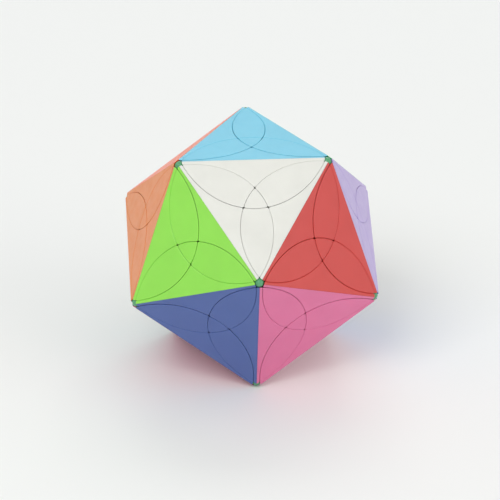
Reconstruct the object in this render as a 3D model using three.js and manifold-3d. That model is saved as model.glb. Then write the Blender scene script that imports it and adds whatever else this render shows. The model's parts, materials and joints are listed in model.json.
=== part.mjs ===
// Edge-turning icosahedron puzzle. Millimetres, +Z up, resting on one face with that face at z = 0.
import * as THREE from 'three';
import { mergeVertices } from 'three/addons/utils/BufferGeometryUtils.js';
import Module from 'manifold-3d';

const EDGE = 45; // edge of the icosahedron
const INRADIUS = 0.755761 * EDGE; // centre to face, also the height of the centre above the table
const RING_WIDE = 0.934172 * EDGE; // radius of the two middle rings of vertices
const RING_NARROW = 0.57735 * EDGE; // radius of the top and bottom rings
const RING_RISE = 0.178411 * EDGE; // middle rings above and below the centre
const GAP = 0.3; // running gap between any two pieces
const SEGMENTS = 20; // facets round every cut, a multiple of four

const CUT_ANGLE = 25; // half angle of the cone that bounds a turning layer
const FOOT_ANGLE = 27.75; // wider half angle in the shell that holds the feet
const FOOT_IN = 0.5 * EDGE; // inner and outer radius of that shell
const FOOT_OUT = 0.6 * EDGE;
const FLARE_SLOPE = 1.25; // the cut opens into a flatter cone near the surface
const FLARE_APEX = 0.43 * EDGE;
const RIM_SLOPE = 0.35; // and steepens again beside the vertex balls
const RIM_R = 0.46125 * EDGE;
const RIM_Z = 0.799 * EDGE;
const CUT_TOP = 1.1 * EDGE; // past the surface

const CORE_R = 0.465 * EDGE;
const ARM_R = 1.15;
const BALL_R = 0.03 * EDGE;
const BALL_AT = 0.905 * EDGE;

const SHAFT_R = 1.1; // screw through each free edge piece
const HEAD_R = 2.2;
const HEAD_H = 1.3;
const SCREW_IN = 0.36 * EDGE; // screw tip, inside the core
const HEAD_AT = 0.665 * EDGE; // underside of the screw head
const CHAMBER_R = 2.75; // blind chamber for spring and head
const CHAMBER_IN = 0.545 * EDGE;
const CHAMBER_OUT = 0.71 * EDGE;
const BORE_R = SHAFT_R + GAP / 2;
const SPRING_R = 1.75;
const WIRE_R = 0.3;
const COILS = 3;

const wasm = await Module();
wasm.setup();

const polar = (r, deg, z) =>
  new THREE.Vector3(r * Math.cos(deg * THREE.MathUtils.DEG2RAD), r * Math.sin(deg * THREE.MathUtils.DEG2RAD), z);
const CENTRE = new THREE.Vector3(0, 0, INRADIUS);
// Vertex letters, each measured from the centre of the puzzle.
const V = {
  A: polar(RING_NARROW, 210, INRADIUS), B: polar(RING_NARROW, 330, INRADIUS), D: polar(RING_NARROW, 90, INRADIUS),
  C: polar(RING_WIDE, 270, RING_RISE), E: polar(RING_WIDE, 150, RING_RISE), F: polar(RING_WIDE, 30, RING_RISE),
  G: polar(RING_WIDE, 210, -RING_RISE), I: polar(RING_WIDE, 330, -RING_RISE), J: polar(RING_WIDE, 90, -RING_RISE),
  H: polar(RING_NARROW, 270, -INRADIUS), K: polar(RING_NARROW, 150, -INRADIUS), L: polar(RING_NARROW, 30, -INRADIUS),
};
const COLOURS = {
  ABD: 0x62bde0, ABC: 0xeeeee8, ACG: 0x8fe04e, AGE: 0xf07f3c, AED: 0xff6a3a, BCI: 0xd63a34, BIF: 0xb295d8,
  CIH: 0xe8659f, CHG: 0x3a4fa8, BFD: 0x2f8f5b, GHK: 0xb8336f, DFJ: 0xf2cf2a, DJE: 0x56427e, EJK: 0x7d858c,
  EKG: 0x1e7f86, FJL: 0x8a5a34, FLI: 0x2f6fd0, IHL: 0xf2b9c8, JKL: 0xc9c04a, HKL: 0x6a2f8f,
};
const CORE_COLOUR = 0x2e9e72;
const STEEL = 0xb8bcc0;

const FRONT = ['AB', 'BI', 'IH', 'HG', 'GA']; // turning layers round vertex C
const REAR = ['DE', 'EK', 'KL', 'LF', 'FD']; // turning layers round vertex J
const FRONT_STAR = ['CA', 'CB', 'CI', 'CH', 'CG'];
const REAR_STAR = ['JD', 'JE', 'JK', 'JL', 'JF'];
const BELT = ['AD', 'BD', 'BF', 'IF', 'IL', 'HL', 'HK', 'GK', 'GE', 'AE'];

const sameFace = (face, letters) => [...letters].every((c) => face.includes(c));
const facesOf = (edge) => Object.keys(COLOURS).filter((f) => sameFace(f, edge));

function solid(geometry) {
  const g = geometry.index ? geometry.toNonIndexed() : geometry.clone();
  g.deleteAttribute('normal');
  g.deleteAttribute('uv');
  const m = mergeVertices(g, 1e-4);
  const vertProperties = new Float32Array(m.attributes.position.array);
  const triVerts = new Uint32Array(m.index.array);
  return new wasm.Manifold(new wasm.Mesh({ numProp: 3, vertProperties, triVerts }));
}

// A turned solid whose axis runs from the centre along `axis`; `start` is where its first facet edge points.
function turned(profile, axis, start, segments) {
  const up = axis.clone().normalize();
  const side = start.clone().addScaledVector(up, -start.dot(up)).normalize();
  const frame = new THREE.Matrix4().makeBasis(side, up, side.clone().cross(up));
  return solid(new THREE.LatheGeometry(profile, segments).applyMatrix4(frame));
}

const at = (radius, deg) =>
  new THREE.Vector2(radius * Math.sin(deg * THREE.MathUtils.DEG2RAD), radius * Math.cos(deg * THREE.MathUtils.DEG2RAD));

// Profile of one turning layer, grown (+) or shrunk (-) by `d`.
function layerProfile(d) {
  const rad = THREE.MathUtils.RAD2DEG;
  const inner = 0.4 * EDGE;
  const step = FOOT_OUT + d;
  const cut = CUT_ANGLE * THREE.MathUtils.DEG2RAD;
  const flare = Math.hypot(1, FLARE_SLOPE) * d;
  const rim = Math.hypot(1, RIM_SLOPE) * d;
  const kink = (FLARE_SLOPE * FLARE_APEX - flare + d / Math.cos(cut)) / (FLARE_SLOPE - Math.tan(cut));
  const lip = (RIM_R - RIM_SLOPE * RIM_Z + FLARE_SLOPE * FLARE_APEX + rim - flare) / (FLARE_SLOPE - RIM_SLOPE);
  return [
    new THREE.Vector2(0, inner),
    at(inner, FOOT_ANGLE + (d / inner) * rad),
    at(step, FOOT_ANGLE + (d / step) * rad),
    at(step, CUT_ANGLE + (d / step) * rad),
    new THREE.Vector2(kink * Math.tan(cut) + d / Math.cos(cut), kink),
    new THREE.Vector2(FLARE_SLOPE * (lip - FLARE_APEX) + flare, lip),
    new THREE.Vector2(RIM_R + RIM_SLOPE * (CUT_TOP - RIM_Z) + rim, CUT_TOP),
    new THREE.Vector2(0, CUT_TOP),
  ];
}

function layer(edge, d) {
  const [p, q] = [V[edge[0]], V[edge[1]]];
  return turned(layerProfile(d), p.clone().add(q), q.clone().sub(p), SEGMENTS);
}
const inside = (edge) => layer(edge, -GAP / 2);
const outside = (edge) => layer(edge, GAP / 2);
const intersect = (list) => list.reduce((a, b) => a.intersect(b));
const unite = (list) => list.reduce((a, b) => a.add(b));
const largest = (m) => m.decompose().reduce((a, b) => (a.volume() > b.volume() ? a : b));

// Hollow icosahedron: the whole outside of the puzzle before it is cut.
function shell() {
  const corners = Object.values(V).flatMap((v) => v.toArray());
  const letters = Object.keys(V);
  const faces = Object.keys(COLOURS).flatMap((name) => {
    const [a, b, c] = [...name];
    const out = V[a].clone().cross(V[b]).dot(V[c]) > 0;
    return (out ? [a, b, c] : [a, c, b]).map((l) => letters.indexOf(l));
  });
  const g = new THREE.BufferGeometry();
  g.setAttribute('position', new THREE.Float32BufferAttribute(corners, 3));
  g.setIndex(faces);
  return solid(g).subtract(solid(new THREE.IcosahedronGeometry(FOOT_IN, 2)));
}
const SHELL = shell();

const tube = (r, from, to, axis, start, segments = 12) =>
  turned([at(from, 0), new THREE.Vector2(r, from), new THREE.Vector2(r, to), at(to, 0)], axis, start, segments);
const axisOf = (edge) => V[edge[0]].clone().add(V[edge[1]]).normalize();
const acrossOf = (edge) => V[edge[1]].clone().sub(V[edge[0]]).normalize();

// One of each cut piece, made at edge AB and face ABD, then turned into every other place.
const EDGE_PIECE = largest(
  SHELL.intersect(inside('AB')).subtract(unite(['AD', 'BD', 'AC', 'BC'].map(outside))),
)
  .subtract(tube(BORE_R, 0.4 * EDGE, CHAMBER_IN + 1, axisOf('AB'), acrossOf('AB')))
  .subtract(tube(CHAMBER_R, CHAMBER_IN, CHAMBER_OUT, axisOf('AB'), acrossOf('AB')));
const PETAL = largest(intersect([SHELL, inside('AB'), inside('AD')]).subtract(outside('BD')));
const CENTRE_PIECE = largest(intersect([SHELL, inside('AB'), inside('AD'), inside('BD')]));

function place(m, from, to) {
  const columns = (l) => new THREE.Matrix4().makeBasis(V[l[0]], V[l[1]], V[l[2]]);
  const turn = columns(to).multiply(columns(from).invert());
  return m.transform(turn.elements);
}

// The three letters of a face, starting at `first`, counter-clockwise seen from outside.
function around(face, first) {
  const others = [...face].filter((c) => c !== first);
  const out = V[first].clone().cross(V[others[0]]).dot(V[others[1]]) > 0;
  return first + (out ? others : others.reverse()).join('');
}

// Screw and its spring: the last coil is seated under the head.
function screw(edge) {
  const [axis, across] = [axisOf(edge), acrossOf(edge)];
  const body = turned(
    [
      at(SCREW_IN, 0), new THREE.Vector2(SHAFT_R, SCREW_IN + 0.8), new THREE.Vector2(SHAFT_R, HEAD_AT),
      new THREE.Vector2(HEAD_R, HEAD_AT), new THREE.Vector2(HEAD_R, HEAD_AT + HEAD_H), at(HEAD_AT + HEAD_H, 0),
    ],
    axis, across, 12,
  );
  const slot = new THREE.BoxGeometry(2 * HEAD_R + 1, 0.8, 0.6);
  const side = axis.clone().cross(across);
  slot.applyMatrix4(new THREE.Matrix4().makeBasis(across, side, axis));
  slot.translate(...axis.clone().multiplyScalar(HEAD_AT + HEAD_H).toArray());
  const low = CHAMBER_IN + GAP + WIRE_R;
  const rise = HEAD_AT + WIRE_R * 0.5 - low;
  const helix = new (class extends THREE.Curve {
    getPoint(t) {
      const a = t * COILS * 2 * Math.PI;
      return axis.clone().multiplyScalar(low + rise * t)
        .addScaledVector(across, SPRING_R * Math.cos(a)).addScaledVector(side, SPRING_R * Math.sin(a));
    }
  })();
  const coil = capped(new THREE.TubeGeometry(helix, COILS * 10, WIRE_R, 5, false), COILS * 10, 5);
  return body.subtract(solid(slot)).add(coil);
}

// Closes both ends of an open tube.
function capped(g, rings, sides) {
  const index = [...g.index.array];
  for (let k = 1; k < sides - 1; k++) {
    const end = rings * (sides + 1);
    index.push(0, k, k + 1, end, end + k + 1, end + k);
  }
  g.setIndex(index);
  return solid(g);
}

function core() {
  let m = solid(new THREE.IcosahedronGeometry(CORE_R, 2));
  for (const v of Object.values(V)) {
    const start = new THREE.Vector3(0.31, 0.53, 0.79);
    m = m.add(tube(ARM_R, CORE_R - 2, BALL_AT, v, start, 8));
    const ball = new THREE.IcosahedronGeometry(BALL_R, 1);
    ball.translate(...v.clone().setLength(BALL_AT).toArray());
    m = m.add(solid(ball));
  }
  for (const edge of FRONT) {
    m = m.subtract(tube(BORE_R, SCREW_IN - 0.5, CORE_R + 2, axisOf(edge), acrossOf(edge)));
  }
  return m;
}

const group = new THREE.Group();

function addNode(name, m, colour, metalness = 0) {
  const raw = m.getMesh();
  const g = new THREE.BufferGeometry();
  g.setAttribute('position', new THREE.BufferAttribute(new Float32Array(raw.vertProperties), 3));
  g.setIndex(new THREE.BufferAttribute(new Uint32Array(raw.triVerts), 1));
  g.translate(...CENTRE.toArray());
  g.computeVertexNormals();
  const mesh = new THREE.Mesh(g, new THREE.MeshStandardMaterial({ color: colour, metalness, roughness: 0.45 }));
  mesh.name = name;
  group.add(mesh);
}

addNode('core', core(), CORE_COLOUR);

for (const edge of FRONT) {
  const faces = facesOf(edge);
  const [p, q] = [...edge];
  const third = [...faces[0]].find((c) => !edge.includes(c));
  const left = around(faces[0], p)[1] === q;
  const home = left ? p + q + third : q + p + third;
  addNode(`edge_${edge}`, place(EDGE_PIECE, 'ABD', home), COLOURS[faces[0]]);
  addNode(`screw_${edge}`, screw(edge), STEEL, 1);
  for (const face of faces) {
    addNode(`centre_${face}`, place(CENTRE_PIECE, 'ABD', around(face, face[0])), COLOURS[face]);
    for (const v of edge) addNode(`petal_${face}_${v}`, place(PETAL, 'ABD', around(face, v)), COLOURS[face]);
  }
}

for (const edge of FRONT_STAR) {
  const faces = facesOf(edge);
  const third = [...faces[0]].find((c) => !edge.includes(c));
  const home = around(faces[0], third);
  addNode(`edge_${edge}`, place(EDGE_PIECE, 'ABD', home.slice(1) + home[0]), COLOURS[faces[1]]);
}
for (const face of Object.keys(COLOURS).filter((f) => f.includes('C'))) {
  addNode(`petal_${face}_C`, place(PETAL, 'ABD', around(face, 'C')), COLOURS[face]);
}

for (const edge of REAR) {
  addNode(`layer_${edge}`, largest(SHELL.intersect(inside(edge))), COLOURS[facesOf(edge)[0]]);
}
const turning = unite([...FRONT, ...REAR].map(outside));
addNode('belt', largest(SHELL.intersect(unite(BELT.map(inside))).subtract(turning)), COLOURS.BFD);
addNode('rear_star', largest(SHELL.intersect(unite(REAR_STAR.map(inside))).subtract(turning)), COLOURS.FJL);

export default group;
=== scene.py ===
import json
import math

import bmesh
import bpy
import numpy as np
from mathutils import Matrix, Quaternion, Vector

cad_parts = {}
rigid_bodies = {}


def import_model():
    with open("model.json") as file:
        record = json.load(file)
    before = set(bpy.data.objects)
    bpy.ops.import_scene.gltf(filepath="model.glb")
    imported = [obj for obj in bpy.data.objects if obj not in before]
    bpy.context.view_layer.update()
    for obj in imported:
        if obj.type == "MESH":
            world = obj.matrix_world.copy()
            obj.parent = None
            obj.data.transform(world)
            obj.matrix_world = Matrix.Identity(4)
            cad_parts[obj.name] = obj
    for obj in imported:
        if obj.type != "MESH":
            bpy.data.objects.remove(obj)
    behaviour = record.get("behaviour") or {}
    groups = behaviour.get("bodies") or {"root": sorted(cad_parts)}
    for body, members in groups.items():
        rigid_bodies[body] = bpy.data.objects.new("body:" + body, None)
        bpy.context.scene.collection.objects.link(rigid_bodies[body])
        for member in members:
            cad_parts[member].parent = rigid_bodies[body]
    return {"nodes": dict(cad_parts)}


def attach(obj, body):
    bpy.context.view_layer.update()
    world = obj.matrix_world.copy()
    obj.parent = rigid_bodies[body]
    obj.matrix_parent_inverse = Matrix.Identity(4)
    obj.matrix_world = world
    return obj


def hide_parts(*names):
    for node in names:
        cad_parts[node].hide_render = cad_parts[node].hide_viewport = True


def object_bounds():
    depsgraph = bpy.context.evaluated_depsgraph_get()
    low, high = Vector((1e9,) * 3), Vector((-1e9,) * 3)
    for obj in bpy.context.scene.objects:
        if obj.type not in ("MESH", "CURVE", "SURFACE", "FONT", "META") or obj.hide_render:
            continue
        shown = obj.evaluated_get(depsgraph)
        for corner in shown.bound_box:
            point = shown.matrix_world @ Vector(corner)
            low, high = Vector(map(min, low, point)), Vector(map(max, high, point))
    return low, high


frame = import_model()
cad_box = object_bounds()

# Sizes in metres, the same as the CAD's. The puzzle stands on one face with the opposite face level on top.
INRADIUS_PER_EDGE = 0.755761
INRADIUS = (cad_box[1][2] - cad_box[0][2]) / 2
EDGE = INRADIUS / INRADIUS_PER_EDGE
CENTRE = Vector((0, 0, INRADIUS))
FACE_TILT = math.radians(20.905)  # of a face, from the plane square to the axis of its edge
GAP = 0.0003  # between two pieces, below the surface

# The cut round an edge's layer is turned about the edge's axis. It is a cone, joined to a flare that is
# wider near the surface, and a third cone, the rim, bounds both.
CUT = math.radians(25.0)
FLARE_SLOPE = 1.25
FLARE_APEX = 0.43 * EDGE
RIM_SLOPE = 0.35
RIM_R = 0.46125 * EDGE
RIM_Z = 0.799 * EDGE

# The feet of a layer's pieces fill a wider cone, in a shell round the centre of the puzzle.
FOOT = math.radians(27.75)
FOOT_IN = 0.5 * EDGE
FOOT_OUT = 0.6 * EDGE
FOOT_BEVEL = 0.0002
FOOT_BOTTOM = FOOT_IN + 0.0001
FOOT_BEVEL_TOP = FOOT_IN + 0.0004
WALL_END = FOOT_OUT + 0.0002

# The core, with an arm and a ball for each vertex.
CORE_R = 0.465 * EDGE
ARM_R = 0.00115
ARM_IN = CORE_R - 0.0005
BALL_R = 0.03 * EDGE
BALL_AT = 0.905 * EDGE

# The screw on each edge's axis, the spring round it, and the room they have in the edge piece.
SHAFT_R = 0.0011
HEAD_R = 0.0022
HEAD_H = 0.0013
HEAD_AT = 0.665 * EDGE
SCREW_IN = 0.36 * EDGE
BORE_R = SHAFT_R + GAP / 2
BORE_IN = 0.4 * EDGE
CHAMBER_R = 0.00275
CHAMBER_IN = 0.545 * EDGE
CHAMBER_OUT = 0.71 * EDGE
SPRING_R = 0.00175
WIRE_R = 0.0003
COILS = 3

# Detail that only this model has.
GROOVE = 0.00008  # between two pieces at the surface
SEAM = 0.00002  # half the line between the two colours of an edge piece
FILLET = 0.00020  # radius round the rim of a piece
RIDGE_R = 0.00030  # radius along the edge of the puzzle


def ring_point(radius, deg, z):
    a = math.radians(deg)
    return np.array([radius * math.cos(a), radius * math.sin(a), z])


# Three vertices at each height. Radius and height are in edge lengths, and the angle is the first vertex's.
V = {}
for letters, radius, start, z in (
    ("ABD", 0.57735, 210, INRADIUS_PER_EDGE),
    ("CFE", 0.934172, 270, 0.178411),
    ("GIJ", 0.934172, 210, -0.178411),
    ("HLK", 0.57735, 270, -INRADIUS_PER_EDGE),
):
    for k, letter in enumerate(letters):
        V[letter] = ring_point(radius * EDGE, start + 120 * k, z * EDGE)

# Each face's colour. The first nine are read off the photo, and the rest are guesses.
FACES = {
    "ABD": ("sky_blue", (0.175, 0.580, 0.760)),
    "ABC": ("white", (0.800, 0.798, 0.745)),
    "ACG": ("lime_green", (0.310, 0.770, 0.090)),
    "AGE": ("orange", (0.790, 0.250, 0.065)),
    "AED": ("coral", (0.910, 0.150, 0.045)),
    "BCI": ("red", (0.630, 0.055, 0.045)),
    "BIF": ("lavender", (0.480, 0.370, 0.700)),
    "CIH": ("pink", (0.750, 0.175, 0.355)),
    "CHG": ("dark_blue", (0.078, 0.135, 0.385)),
    "BFD": ("green", (0.040, 0.400, 0.180)),
    "GHK": ("magenta", (0.500, 0.050, 0.190)),
    "DFJ": ("yellow", (0.880, 0.640, 0.030)),
    "DJE": ("violet", (0.095, 0.055, 0.210)),
    "EJK": ("grey", (0.200, 0.235, 0.260)),
    "EKG": ("petrol", (0.020, 0.210, 0.240)),
    "FJL": ("brown", (0.250, 0.100, 0.035)),
    "FLI": ("mid_blue", (0.035, 0.160, 0.630)),
    "IHL": ("pale_pink", (0.870, 0.480, 0.560)),
    "JKL": ("olive", (0.560, 0.520, 0.070)),
    "HKL": ("purple", (0.145, 0.030, 0.270)),
}
CORE_GREEN = (0.095, 0.365, 0.170)

# The ten edges whose layers turn: five round the front vertex, and the five opposite them.
FRONT = ("AB", "BI", "IH", "HG", "GA")
REAR = ("DE", "EK", "KL", "LF", "FD")


def around(face, first):
    """The face's letters from `first`, counter-clockwise seen from outside."""
    others = [c for c in face if c != first]
    if np.dot(np.cross(V[first], V[others[0]]), V[others[1]]) < 0:
        others.reverse()
    return first + "".join(others)


def turning_edge(face):
    """The one edge of a face whose layer turns."""
    return next(e for e in FRONT + REAR if set(e) <= set(face))


# ---- camera, floor and light ----


def make_camera():
    """The photo's camera, fitted to the vertices of the puzzle in the photo."""
    data = bpy.data.cameras.new("camera")
    data.sensor_width = 36.0
    data.lens = 288.0
    data.clip_end = 20.0
    cam = bpy.data.objects.new("camera", data)
    bpy.context.scene.collection.objects.link(cam)
    cam.rotation_mode = "QUATERNION"
    cam.location = (-0.065238, -1.063746, 0.554400)
    cam.rotation_quaternion = Quaternion((0.848058, 0.528997, -0.015590, -0.026776))
    bpy.context.scene.camera = cam


def make_stage():
    """A white sweep: a floor that bends up into a wall behind the puzzle. It is clear from underneath."""
    steps, reach, bend_at, bend_r, wall_top = 48, 3.0, 1.2, 0.9, 3.0
    below = 0.00005  # keeps the floor from coinciding with the face that stands on it
    verts, faces = [], []
    for j in range(steps + 1):
        t = j / steps
        if t < 0.5:
            y, z = -reach + (reach + bend_at) * t * 2, 0.0
        else:
            a = (t - 0.5) * math.pi
            y, z = bend_at + bend_r * math.sin(a), bend_r * (1 - math.cos(a))
        for x in (-reach, reach):
            verts.append((x, y, z - below))
    verts += [(-reach, bend_at + bend_r, wall_top), (reach, bend_at + bend_r, wall_top)]
    for j in range(steps + 1):
        k = 2 * j
        faces.append((k, k + 1, k + 3, k + 2))
    mesh = bpy.data.meshes.new("floor")
    mesh.from_pydata(verts, [], faces)
    mesh.shade_smooth()
    floor = bpy.data.objects.new("floor", mesh)
    bpy.context.scene.collection.objects.link(floor)

    mat = bpy.data.materials.new("floor_paper")
    mat.use_nodes = True
    nodes, links = mat.node_tree.nodes, mat.node_tree.links
    bsdf = nodes["Principled BSDF"]
    bsdf.inputs["Base Color"].default_value = (0.870, 0.878, 0.862, 1)
    bsdf.inputs["Roughness"].default_value = 0.75
    side = nodes.new("ShaderNodeNewGeometry")
    clear = nodes.new("ShaderNodeBsdfTransparent")
    one_sided = nodes.new("ShaderNodeMixShader")
    links.new(side.outputs["Backfacing"], one_sided.inputs[0])
    links.new(bsdf.outputs[0], one_sided.inputs[1])
    links.new(clear.outputs[0], one_sided.inputs[2])
    links.new(one_sided.outputs[0], nodes["Material Output"].inputs["Surface"])
    floor.data.materials.append(mat)


def area_light(name, location, target, size, power, colour=(1, 1, 1)):
    data = bpy.data.lights.new(name, "AREA")
    data.shape = "RECTANGLE"
    data.size, data.size_y = size
    data.energy = power
    data.color = colour
    lamp = bpy.data.objects.new(name, data)
    bpy.context.scene.collection.objects.link(lamp)
    lamp.location = location
    lamp.rotation_mode = "QUATERNION"
    lamp.rotation_quaternion = (Vector(target) - Vector(location)).to_track_quat("-Z", "Y")


def make_lights():
    aim = (0, 0, 0.035)
    area_light("key", (-0.55, -0.75, 1.05), aim, size=(0.9, 0.7), power=7.2, colour=(1.0, 0.985, 0.96))
    area_light("fill", (0.95, -0.60, 0.45), aim, size=(0.9, 0.9), power=3.2, colour=(0.96, 0.98, 1.0))
    area_light("back", (0.15, 0.95, 0.95), aim, size=(0.9, 0.5), power=4.0)
    world = bpy.data.worlds.new("world")
    world.use_nodes = True
    background = world.node_tree.nodes["Background"]
    background.inputs["Color"].default_value = (0.97, 0.985, 1.0, 1)
    background.inputs["Strength"].default_value = 0.60
    bpy.context.scene.world = world
    bpy.context.scene.view_settings.view_transform = "Standard"


# ---- materials ----


def add_noise(mat, scale, detail=2.0):
    """A noise in the piece's own coordinates, which turn with it."""
    nodes, links = mat.node_tree.nodes, mat.node_tree.links
    where = nodes.new("ShaderNodeTexCoord")
    noise = nodes.new("ShaderNodeTexNoise")
    noise.inputs["Scale"].default_value = scale
    noise.inputs["Detail"].default_value = detail
    links.new(where.outputs["Object"], noise.inputs["Vector"])
    return noise.outputs["Fac"]


def vary_roughness(mat, noise, noise_range, rough_range):
    nodes, links = mat.node_tree.nodes, mat.node_tree.links
    spread = nodes.new("ShaderNodeMapRange")
    spread.inputs["From Min"].default_value, spread.inputs["From Max"].default_value = noise_range
    spread.inputs["To Min"].default_value, spread.inputs["To Max"].default_value = rough_range
    links.new(noise, spread.inputs["Value"])
    links.new(spread.outputs["Result"], nodes["Principled BSDF"].inputs["Roughness"])


def moulded(name, rgb, roughness=0.36):
    """Plastic coloured in the mass, with faint flow marks in the colour and a fine moulded grain."""
    mat = bpy.data.materials.new(name)
    mat.use_nodes = True
    nodes, links = mat.node_tree.nodes, mat.node_tree.links
    bsdf = nodes["Principled BSDF"]

    flow = nodes.new("ShaderNodeMix")
    flow.data_type = "RGBA"
    darker = [c * 0.93 for c in rgb]
    lighter = [min(1.0, c * 1.04 + 0.004) for c in rgb]
    flow.inputs[6].default_value = (*darker, 1)
    flow.inputs[7].default_value = (*lighter, 1)
    links.new(add_noise(mat, 140.0, 3.0), flow.inputs[0])
    links.new(flow.outputs[2], bsdf.inputs["Base Color"])

    vary_roughness(mat, add_noise(mat, 420.0, 4.0), (0.3, 0.7), (roughness - 0.05, roughness + 0.07))

    grain = nodes.new("ShaderNodeBump")
    grain.inputs["Strength"].default_value = 0.10
    grain.inputs["Distance"].default_value = 0.00003
    links.new(add_noise(mat, 5200.0), grain.inputs["Height"])
    links.new(grain.outputs["Normal"], bsdf.inputs["Normal"])

    bsdf.inputs["IOR"].default_value = 1.5
    bsdf.inputs["Subsurface Weight"].default_value = 0.5
    bsdf.inputs["Subsurface Radius"].default_value = (1.0, 1.0, 1.0)
    bsdf.inputs["Subsurface Scale"].default_value = 0.0005
    bsdf.inputs["Coat Weight"].default_value = 0.12
    bsdf.inputs["Coat Roughness"].default_value = 0.18
    return mat


def steel(name):
    mat = bpy.data.materials.new(name)
    mat.use_nodes = True
    bsdf = mat.node_tree.nodes["Principled BSDF"]
    bsdf.inputs["Base Color"].default_value = (0.60, 0.61, 0.62, 1)
    bsdf.inputs["Metallic"].default_value = 1.0
    vary_roughness(mat, add_noise(mat, 900.0), (0.0, 1.0), (0.22, 0.42))
    return mat


# ---- the cut surfaces ----
# Every cut is turned about the axis through the middle of one edge.
# Points are measured from the centre of the puzzle.

FACE_N = (V["A"] + V["B"] + V["D"]) / np.linalg.norm(V["A"] + V["B"] + V["D"])


def cut(edge, foot=False):
    """Signed distance to the cut that bounds one edge's turning layer, negative inside."""
    axis = V[edge[0]] + V[edge[1]]
    axis = axis / np.linalg.norm(axis)

    def distance(p):
        z = p @ axis
        r = np.linalg.norm(p - np.outer(z, axis), axis=1)
        if foot:
            return r * math.cos(FOOT) - z * math.sin(FOOT)
        cone = r * math.cos(CUT) - z * math.sin(CUT)
        flare = (r - FLARE_SLOPE * (z - FLARE_APEX)) / math.hypot(1, FLARE_SLOPE)
        rim = (r - RIM_R - RIM_SLOPE * (z - RIM_Z)) / math.hypot(1, RIM_SLOPE)
        return np.maximum(np.minimum(cone, flare), rim)

    return distance


def seam(edge, third):
    """Signed distance to the plane through an edge and the centre, negative on the side of `third`."""
    normal = np.cross(V[edge[0]], V[edge[1]])
    normal = normal / np.linalg.norm(normal)
    if normal @ V[third] > 0:
        normal = -normal
    return lambda p: p @ normal


def solve(p, conditions):
    """Moves each point until it meets three conditions, by Newton's method."""
    rounds, nudge, longest_move, close_enough = 30, 1e-7, 0.004, 1e-10
    for _ in range(rounds):
        value = np.stack([f(p) for f in conditions], 1)
        jac = np.empty((len(p), 3, 3))
        for k in range(3):
            q = p.copy()
            q[:, k] += nudge
            jac[:, :, k] = (np.stack([f(q) for f in conditions], 1) - value) / nudge
        move = np.linalg.solve(jac, value[:, :, None])[:, :, 0]
        size = np.linalg.norm(move, axis=1, keepdims=True)
        p = p - move * np.minimum(1.0, longest_move / np.maximum(size, 1e-12))
        if size.max() < close_enough:
            break
    return p


def plane_level(depth):
    """The face's plane, sunk by a depth."""
    return lambda p: p @ FACE_N - (INRADIUS - depth)


def ball_level(radius):
    """A sphere round the centre."""
    return lambda p: np.linalg.norm(p, axis=1) - radius


def wall_level(t):
    """Surfaces that pass from the bottom of the rim's rounding at t = 0 to just above the foot at t = 1."""
    start, end = plane_level(FILLET), ball_level(WALL_END)
    return lambda p: (1 - t) * start(p) + t * end(p)


# ---- pieces, as rings of points that follow those surfaces ----

ROUND = 3  # points on each side of a corner that its rounding takes
ROUND_SHARE = 0.3  # the most of a side that one corner's rounding takes
FILLET_STEPS = 5
FLAT_RING = 1.2  # how far in the first ring lies, in rounding radii
FLAT_RING_RIDGE = 1.4  # the same along the edge of the puzzle, in widths of the rounding there
WALL_STEPS = 9


class Side:
    """One side of a piece's outline.

    `inside` says whether the piece lies inside the cut, `count` is the number of points between
    the two corners' roundings, and `corner` is the length that its first corner's rounding takes.
    """

    def __init__(self, field, foot_field, inside, count, corner, ridge=False):
        self.field, self.foot_field = field, foot_field
        self.sign = 1.0 if inside else -1.0
        self.count, self.corner, self.ridge = count, corner, ridge

    def condition(self, inset, foot):
        """The side's wall, moved into the piece by an inset."""
        f = self.foot_field if foot else self.field
        base = SEAM if self.ridge else GAP / 2
        return lambda p: self.sign * f(p) + base + inset


def outline(sides, guesses, levels, insets, foot=False):
    """One closed ring of points round a piece, and its corners for the next ring's first guess.

    Each side has its own level, and its own (inset, depth).
    """
    n = len(sides)
    corners = []
    for k in range(n):
        before = sides[k - 1].condition(insets[k - 1][0], foot)
        after = sides[k].condition(insets[k][0], foot)
        deeper = levels[k - 1] if insets[k - 1][1] > insets[k][1] else levels[k]
        corners.append(solve(guesses[k][None], [deeper, before, after])[0])
    ring = []
    for k in range(n):
        a, b = corners[k], corners[(k + 1) % n]
        chord = np.linalg.norm(b - a)
        along = (b - a) / chord
        most = ROUND_SHARE * chord
        first, last = min(sides[k].corner, most), min(sides[(k + 1) % n].corner, most)
        step = np.arange(1, ROUND + 1) / ROUND
        middle = np.linspace(first, chord - last, sides[k].count + 2)[1:-1]
        t = np.concatenate([first * step, middle, chord - last * step[::-1]])
        target = a @ along + t
        wall = sides[k].condition(insets[k][0], foot)
        ring.append(a)
        ring.extend(solve(a + np.outer(t, along), [levels[k], wall, lambda p: p @ along - target]))
    ring = np.array(ring)
    starts = np.cumsum([0] + [s.count + 2 * ROUND + 1 for s in sides[:-1]])
    for k in starts:
        span = [(k + j) % len(ring) for j in range(-ROUND, ROUND + 1)]
        p, q, r = ring[span[0]].copy(), ring[k].copy(), ring[span[-1]].copy()
        for u, index in zip(np.linspace(0, 1, 2 * ROUND + 1), span):
            ring[index] = (1 - u) ** 2 * p + 2 * u * (1 - u) * q + u**2 * r
    return ring, corners


def rim_profile():
    """The (inset, depth) of each ring from the flat of the face down round the rim of a piece.

    The first ring lies on the flat, a little way in, and keeps the flat's shading flat.
    """
    lip = (GROOVE - GAP) / 2
    profile = [(lip + FILLET * FLAT_RING, 0.0)]
    for k in range(FILLET_STEPS + 1):
        a = math.pi / 2 * (1 - k / FILLET_STEPS)
        profile.append((lip + FILLET * (1 - math.cos(a)), FILLET * (1 - math.sin(a))))
    return profile


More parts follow.
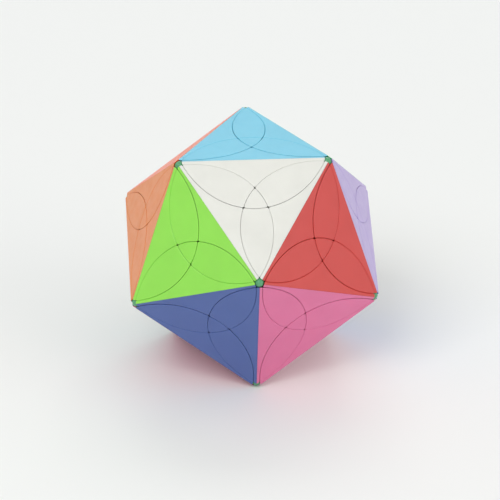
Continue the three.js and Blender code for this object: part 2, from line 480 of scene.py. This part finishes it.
def ridge_profile():
    """The same along the edge of the puzzle, where the rounding ends at the seam."""
    reach = RIDGE_R * math.tan(FACE_TILT)
    arc = [(reach * FLAT_RING_RIDGE, 0.0)]
    for k in range(FILLET_STEPS + 1):
        a = FACE_TILT * k / FILLET_STEPS
        arc.append((reach - RIDGE_R * math.sin(a), RIDGE_R * (1 - math.cos(a))))
    return [(i * math.cos(FACE_TILT) - d * math.sin(FACE_TILT), d) for i, d in arc]


def loft(sides, guesses):
    """Stacks the rings of a piece from the flat of its face down to the inside of its foot."""
    rings = []

    def add(levels, insets, foot=False):
        nonlocal guesses
        ring, guesses = outline(sides, guesses, levels, insets, foot)
        rings.append(ring)

    for rim, ridge in zip(rim_profile(), ridge_profile()):
        insets = [ridge if side.ridge else rim for side in sides]
        add([plane_level(depth) for _, depth in insets], insets)

    n = len(sides)
    no_inset = [(0.0, 0.0)] * n
    lip_end = 0.4 / WALL_STEPS  # where the groove has opened to the full gap
    for t in (lip_end, *(k / WALL_STEPS for k in range(1, WALL_STEPS + 1))):
        add([wall_level(t)] * n, no_inset)

    for radius in (FOOT_OUT - GAP / 2, FOOT_OUT - GAP, FOOT_BEVEL_TOP):
        add([ball_level(radius)] * n, no_inset, foot=True)
    bevel = [(0.0 if side.ridge else FOOT_BEVEL, 0.0) for side in sides]
    add([ball_level(FOOT_BOTTOM)] * n, bevel, foot=True)
    return rings


# ---- meshes ----


def closed_mesh(name, rings):
    """A closed skin through the rings, capped at both ends."""
    n = len(rings[0])
    verts = [tuple(p) for ring in rings for p in ring]
    faces = [tuple(range(n))]
    for j in range(len(rings) - 1):
        for i in range(n):
            a, b = j * n + i, j * n + (i + 1) % n
            faces.append((a, a + n, b + n, b))
    last = (len(rings) - 1) * n
    faces.append(tuple(last + i for i in reversed(range(n))))
    mesh = bpy.data.meshes.new(name)
    mesh.from_pydata(verts, [], faces)
    bm = bmesh.new()
    bm.from_mesh(mesh)
    # The first face is flat and stays whole. The last, on the inside of the foot, is not flat.
    bmesh.ops.triangulate(bm, faces=[f for f in bm.faces if len(f.verts) > 4 and f.index != 0])
    bmesh.ops.recalc_face_normals(bm, faces=bm.faces)
    bm.to_mesh(mesh)
    bm.free()
    return mesh


def finish_mesh(mesh, sharp=35.0):
    mesh.shade_smooth()
    mesh.set_sharp_from_angle(angle=math.radians(sharp))


def lathe_mesh(name, profile, segments=48):
    """A turned form about Z from (radius, height) pairs, closed where the radius is nothing."""
    angles = [2 * math.pi * k / segments for k in range(segments)]
    bm = bmesh.new()
    rings = []
    for r, z in profile:
        if r < 1e-9:
            rings.append([bm.verts.new((0, 0, z))])
        else:
            rings.append([bm.verts.new((r * math.cos(a), r * math.sin(a), z)) for a in angles])
    for low, high in zip(rings, rings[1:]):
        for k in range(segments):
            a, b = low[k % len(low)], low[(k + 1) % len(low)]
            c, d = high[(k + 1) % len(high)], high[k % len(high)]
            corners = list(dict.fromkeys((a, b, c, d)))
            if len(corners) > 2:
                bm.faces.new(corners)
    bmesh.ops.recalc_face_normals(bm, faces=bm.faces)
    mesh = bpy.data.meshes.new(name)
    bm.to_mesh(mesh)
    bm.free()
    return mesh


def subtract(mesh, cutter):
    """A new mesh with the cutter's volume taken away."""
    linked = bpy.context.scene.collection.objects
    body, tool = bpy.data.objects.new("body", mesh), bpy.data.objects.new("tool", cutter)
    linked.link(body)
    linked.link(tool)
    cutting = body.modifiers.new("cut", "BOOLEAN")
    cutting.operation = "DIFFERENCE"
    cutting.solver = "EXACT"
    cutting.object = tool
    result = bpy.data.meshes.new_from_object(body.evaluated_get(bpy.context.evaluated_depsgraph_get()))
    bpy.data.objects.remove(body)
    bpy.data.objects.remove(tool)
    return result


def joined(name, source, matrices):
    """One mesh from a copy of the source at each matrix."""
    bm = bmesh.new()
    for matrix in matrices:
        copy = source.copy()
        copy.transform(matrix)
        bm.from_mesh(copy)
    mesh = bpy.data.meshes.new(name)
    bm.to_mesh(mesh)
    bm.free()
    return mesh


# ---- placing ----


def basis(axis, side):
    """The placing of something made along Z onto an axis, with its X towards `side`."""
    z = axis / np.linalg.norm(axis)
    x = side - z * (side @ z)
    x = x / np.linalg.norm(x)
    m = np.eye(4)
    m[:3, 0], m[:3, 1], m[:3, 2] = x, np.cross(z, x), z
    return Matrix(m.tolist())


def edge_frame(edge):
    """The placing of something made along Z onto the axis of an edge."""
    return basis(V[edge[0]] + V[edge[1]], V[edge[1]] - V[edge[0]])


def turn(source, target):
    """The rotation that takes three vertices onto three others."""

    def columns(letters):
        return np.stack([V[c] for c in letters], 1)

    m = np.eye(4)
    m[:3, :3] = columns(target) @ np.linalg.inv(columns(source))
    return Matrix(m.tolist())


def add_piece(name, mesh, matrix, material, body, stands_for=()):
    """A copy of a mesh, put in its place and made to ride with its body.

    It replaces those of the nodes in `stands_for` that the CAD has.
    """
    copy = mesh.copy()
    copy.name = name
    copy.transform(Matrix.Translation(CENTRE) @ matrix)
    copy.materials.clear()
    copy.materials.append(material)
    piece = bpy.data.objects.new(name, copy)
    bpy.context.scene.collection.objects.link(piece)
    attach(piece, body)
    nodes = [n for n in stands_for if n in frame["nodes"]]
    if nodes:
        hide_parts(*nodes)


# ---- the three kinds of outside piece, each made once on face ABD ----


def towards(*weights):
    """A first guess on the face, as a mix of its three corners A, B and D."""
    total = sum(weights)
    return sum(w * V[c] for w, c in zip(weights, "ABD")) / total


# The crossing of two of the face's arcs that is nearest to each edge, as a first guess.
NEAR_AB = towards(0.385, 0.385, 0.23)
NEAR_AD = towards(0.385, 0.23, 0.385)
NEAR_BD = towards(0.23, 0.385, 0.385)


def layer_side(edge, inside, count, corner):
    return Side(cut(edge), cut(edge, foot=True), inside, count, corner)


def make_centre():
    sides = [layer_side(edge, inside=True, count=9, corner=0.0006) for edge in ("AD", "AB", "BD")]
    return closed_mesh("centre", loft(sides, [NEAR_AB, NEAR_BD, NEAR_AD]))


def make_petal():
    tip = towards(0.92, 0.04, 0.04)
    sides = [
        layer_side("AD", inside=True, count=24, corner=0.00022),
        layer_side("BD", inside=False, count=9, corner=0.0004),
        layer_side("AB", inside=True, count=24, corner=0.0004),
    ]
    return closed_mesh("petal", loft(sides, [tip, NEAR_AB, NEAR_AD]))


def make_edge_half():
    """Half an edge piece, in one face's colour, up to the seam along the edge."""
    line = seam("AB", "D")
    sides = [
        Side(line, line, inside=True, count=16, corner=0.0001, ridge=True),
        layer_side("AB", inside=True, count=1, corner=0.0001),
        layer_side("BD", inside=False, count=24, corner=0.0003),
        layer_side("AD", inside=False, count=24, corner=0.0007),
        layer_side("AB", inside=True, count=1, corner=0.0003),
    ]
    seam_ends = [towards(0.97, 0.03, 0.001), towards(0.03, 0.97, 0.001)]
    blunt_ends = [towards(0.035, 0.93, 0.03), towards(0.93, 0.035, 0.03)]
    return closed_mesh("edge_half", loft(sides, [*seam_ends, blunt_ends[0], NEAR_AB, blunt_ends[1]]))


# ---- the screw and spring on each edge's axis, and the room they take ----


def make_chamber():
    """The room for a screw and its spring, and the bore for the screw below it."""
    mesh = lathe_mesh("chamber", [
        (0.0, BORE_IN),
        (BORE_R, BORE_IN),
        (BORE_R, CHAMBER_IN),
        (CHAMBER_R, CHAMBER_IN),
        (CHAMBER_R, CHAMBER_OUT),
        (0.0, CHAMBER_OUT),
    ])
    mesh.transform(edge_frame("AB"))
    return mesh


def cross_recess():
    """The tapered cross that a screwdriver fits, pointing down into the head."""
    clear, depth = 0.0002, 0.0011
    top = HEAD_AT + HEAD_H + clear
    bm = bmesh.new()
    rings = []
    for z, arm, half_width in ((top, 0.00135, 0.00027), (top - depth, 0.00065, 0.00020)):
        quarter = [(arm, -half_width), (arm, half_width), (half_width, half_width)]
        ring = []
        for k in range(4):
            for x, y in quarter:
                for _ in range(k):
                    x, y = -y, x
                ring.append(bm.verts.new((x, y, z)))
        rings.append(ring)
    high, low = rings
    bm.faces.new(high)
    bm.faces.new(low[::-1])
    for a, b, c, d in zip(high, high[1:] + high[:1], low[1:] + low[:1], low):
        bm.faces.new((a, d, c, b))
    bmesh.ops.recalc_face_normals(bm, faces=bm.faces)
    mesh = bpy.data.meshes.new("cross_recess")
    bm.to_mesh(mesh)
    bm.free()
    return mesh


def make_screw():
    """A machine screw with a rounded head, a cross recess, a plain shank and a threaded end."""
    pitch, depth, point, run_out = 0.0005, 0.00014, 0.0004, 0.0003
    root_r, shank_r = SHAFT_R - depth, SHAFT_R - 0.00005
    rim, dome_steps = 0.0001, 8
    side, dome = 0.45, 0.55  # parts of the head's height
    profile = [(0.0, SCREW_IN), (SHAFT_R * 0.6, SCREW_IN)]
    z = SCREW_IN + point
    while z < CORE_R - run_out:
        # the root, then a crest a tenth of the pitch wide
        profile += [(root_r, z), (SHAFT_R, z + 0.4 * pitch), (SHAFT_R, z + 0.5 * pitch)]
        z += pitch
    profile += [(root_r, z), (shank_r, z + run_out), (shank_r, HEAD_AT)]
    profile += [(HEAD_R - rim, HEAD_AT), (HEAD_R, HEAD_AT + rim), (HEAD_R, HEAD_AT + side * HEAD_H)]
    for k in range(1, dome_steps):
        a = math.pi / 2 * k / dome_steps
        profile.append((HEAD_R * math.cos(a), HEAD_AT + HEAD_H * (side + dome * math.sin(a))))
    profile.append((0.0, HEAD_AT + HEAD_H))
    return subtract(lathe_mesh("screw", profile, 36), cross_recess())


def make_spring():
    """An open coil whose two ends lie flat, one over its seat and one under the screw's head."""
    play, flat_end = 0.00003, 0.08
    steps, sides = COILS * 28, 12
    low = CHAMBER_IN + WIRE_R + play
    rise = HEAD_AT - WIRE_R - play - low
    verts, faces = [], []
    for k in range(steps + 1):
        t = k / steps
        a = 2 * math.pi * COILS * t
        z = low + rise * min(1.0, max(0.0, (t - flat_end) / (1 - 2 * flat_end)))
        out = Vector((math.cos(a), math.sin(a), 0))
        for j in range(sides):
            b = 2 * math.pi * j / sides
            up = Vector((0, 0, z + WIRE_R * math.sin(b)))
            verts.append(out * (SPRING_R + WIRE_R * math.cos(b)) + up)
    for k in range(steps):
        for j in range(sides):
            p, q = k * sides + j, k * sides + (j + 1) % sides
            faces.append((p, p + sides, q + sides, q))
    faces.append(tuple(range(sides)))
    faces.append(tuple(steps * sides + j for j in reversed(range(sides))))
    mesh = bpy.data.meshes.new("spring")
    mesh.from_pydata(verts, [], faces)
    bm = bmesh.new()
    bm.from_mesh(mesh)
    bmesh.ops.recalc_face_normals(bm, faces=bm.faces)
    bm.to_mesh(mesh)
    bm.free()
    return mesh


# ---- the core ----


def make_post():
    """A vertex's ball, its neck, the skirt below that and the arm down to the core."""
    profile = [(0.0, BALL_AT + BALL_R)]
    for k in range(1, 15):
        a = math.pi * k / 16
        profile.append((BALL_R * math.sin(a), BALL_AT + BALL_R * math.cos(a)))
    neck = [(ARM_R, 0.882 * EDGE), (0.00130, 0.873 * EDGE)]
    skirt = [(0.00185, 0.850 * EDGE), (0.00190, 0.845 * EDGE), (0.00180, 0.835 * EDGE)]
    arm = [(ARM_R, 0.815 * EDGE), (ARM_R, ARM_IN), (0.0, ARM_IN)]
    return lathe_mesh("post", profile + neck + skirt + arm, 32)


def make_hub(edges):
    """The middle ball, with a hole for each edge's screw. Each hole has a chamfer at its mouth."""
    bm = bmesh.new()
    bmesh.ops.create_icosphere(bm, subdivisions=5, radius=CORE_R)
    ball = bpy.data.meshes.new("ball")
    bm.to_mesh(ball)
    bm.free()
    hole_r, mouth_r = SHAFT_R + 0.00002, SHAFT_R + 0.0009
    hole_in, chamfer_in, mouth = SCREW_IN - 0.0005, CORE_R - 0.0005, CORE_R + 0.0003
    hole = lathe_mesh("screw_hole", [
        (0.0, hole_in),
        (hole_r, hole_in),
        (hole_r, chamfer_in),
        (mouth_r, mouth),
        (0.0, mouth),
    ], 24)
    return subtract(ball, joined("screw_holes", hole, [edge_frame(edge) for edge in edges]))


# ---- the scene ----

make_camera()
make_stage()
make_lights()

plastics = {face: moulded("plastic_" + slot, rgb) for face, (slot, rgb) in FACES.items()}
core_plastic = moulded("plastic_core_green", CORE_GREEN, roughness=0.30)
steel_finish = steel("bright_steel")

centre_mesh = make_centre()
petal_mesh = make_petal()
half_mesh = subtract(make_edge_half(), make_chamber())
screw_mesh = make_screw()
spring_mesh = make_spring()
for mesh in (centre_mesh, petal_mesh, half_mesh, screw_mesh, spring_mesh):
    finish_mesh(mesh)


def place_on_face(name, mesh, face, home, body, *stands_for):
    """Puts a piece made on face ABD onto another face, with A, B and D going to the letters of `home`."""
    add_piece(name, mesh, turn("ABD", home), plastics[face], body, stands_for)


# An edge's key is its two letters in order. The joint and the nodes of a turning edge may have them the
# other way round.
edges = sorted({"".join(sorted(pair)) for f in FACES for pair in (f[:2], f[1:], f[0] + f[2])})
turning = {"".join(sorted(e)): e for e in FRONT + REAR}

for face in FACES:
    swing = turning_edge(face)
    layer = "turn_" + swing
    place_on_face("centre_piece_" + face, centre_mesh, face, around(face, face[0]), layer, "centre_" + face)
    for v in face:
        body = layer if v in swing else "core"
        name, node = f"petal_piece_{face}_{v}", f"petal_{face}_{v}"
        place_on_face(name, petal_mesh, face, around(face, v), body, node)
    for v in face:
        key = "".join(sorted(c for c in face if c != v))
        edge = turning.get(key, key)
        body = "turn_" + edge if key in turning else "core"
        home = around(face, v)[1:] + v
        nodes = ("edge_" + edge, "edge_" + edge[::-1], "layer_" + edge)
        place_on_face(f"edge_piece_{key}_{face}", half_mesh, face, home, body, *nodes)

for key in edges:
    spot, nodes = edge_frame(key), ["screw_" + turning.get(key, key)]
    add_piece("screw_piece_" + key, screw_mesh, spot, steel_finish, "core", nodes)
    add_piece("spring_piece_" + key, spring_mesh, spot, steel_finish, "core", nodes)

post_mesh = make_post()
finish_mesh(post_mesh, sharp=50.0)
for letter, v in V.items():
    side = V["B" if letter in "AL" else "A"]
    add_piece("post_" + letter, post_mesh, basis(v, side), core_plastic, "core")

hub_mesh = make_hub(edges)
finish_mesh(hub_mesh)
hub_nodes = ("core", "belt", "rear_star")
add_piece("hub", hub_mesh, Matrix.Identity(4), core_plastic, "core", hub_nodes)
